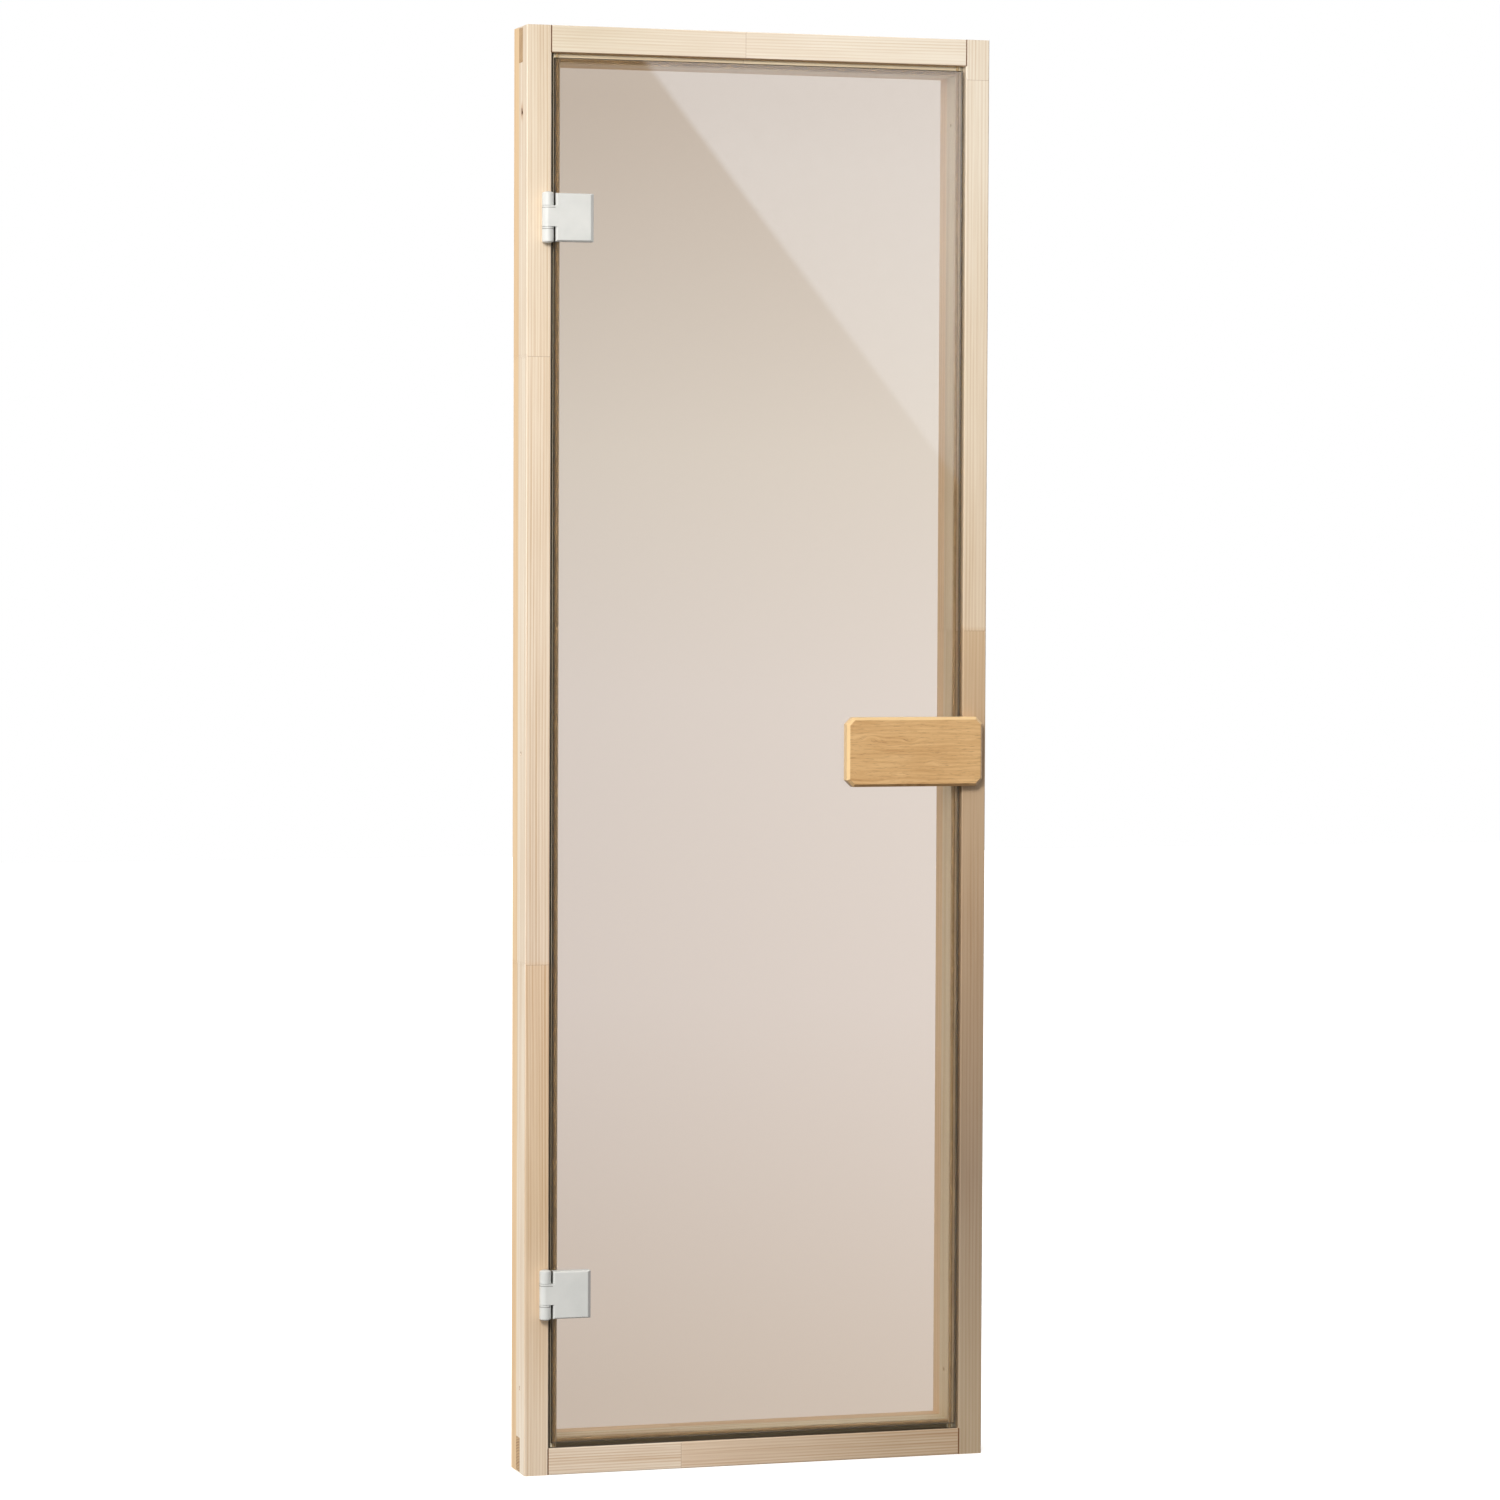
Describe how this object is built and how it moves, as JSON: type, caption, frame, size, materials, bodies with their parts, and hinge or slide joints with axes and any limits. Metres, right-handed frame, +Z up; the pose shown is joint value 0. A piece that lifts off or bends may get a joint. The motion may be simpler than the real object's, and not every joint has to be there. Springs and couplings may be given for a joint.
{
  "type": "sauna door",
  "caption": "Framed glass sauna door with a rebated pine frame, a tinted pane on knuckle hinges and a flat wooden pull held by a magnet catch.",
  "frame": {"origin": "middle of the sill's underside, at floor level and mid-depth of the frame", "axes": "+Z up, +X across the width towards the latch side, +Y through the doorway to the inside; the pane opens towards -Y"},
  "size_m": [0.7, 0.097, 2.09],
  "materials": {
    "pine_frame": "planed and clear oiled",
    "pull_wood": "smooth, satin lacquer",
    "seal_rubber": "matt",
    "pad_rubber": "matt",
    "white_hinge": "smooth white powder coat",
    "hinge_pin": "smooth white",
    "screw_steel": "plated",
    "strike_steel": "plated",
    "magnet": "plated",
    "clear_plastic": "natural nylon",
    "tinted_glass": "toughened, light bronze tint"
  },
  "bodies": {
    "frame": {"hinge_stile": "pine_frame", "latch_stile": "pine_frame", "head_rail": "pine_frame", "sill_rail": "pine_frame", "hinge_side_seal": "seal_rubber", "latch_side_seal": "seal_rubber", "head_seal": "seal_rubber", "sill_seal": "seal_rubber", "upper_hinge_knuckles": "white_hinge", "lower_hinge_knuckles": "white_hinge", "upper_hinge_pin": "hinge_pin", "lower_hinge_pin": "hinge_pin", "upper_hinge_cap": "hinge_pin", "lower_hinge_cap": "hinge_pin", "catch_magnet": "magnet"},
    "door": {"glass_pane": "tinted_glass", "upper_hinge_plate": "white_hinge", "lower_hinge_plate": "white_hinge", "upper_clamp_plate": "white_hinge", "lower_clamp_plate": "white_hinge", "upper_hinge_pads": "pad_rubber", "lower_hinge_pads": "pad_rubber", "upper_clamp_screws": "screw_steel", "lower_clamp_screws": "screw_steel", "outer_pull": "pull_wood", "inner_pull": "pull_wood", "pull_bolts": "screw_steel", "pull_sleeves": "clear_plastic", "pull_washers": "clear_plastic", "catch_strike": "strike_steel"}
  },
  "joints": [
    {"name": "door_swing", "type": "hinge", "parent": "frame", "child": "door", "pos_m": [-0.3215, -0.048, 1], "axis": [0, 0, -1], "range_deg": [0, 160]}
  ]
}
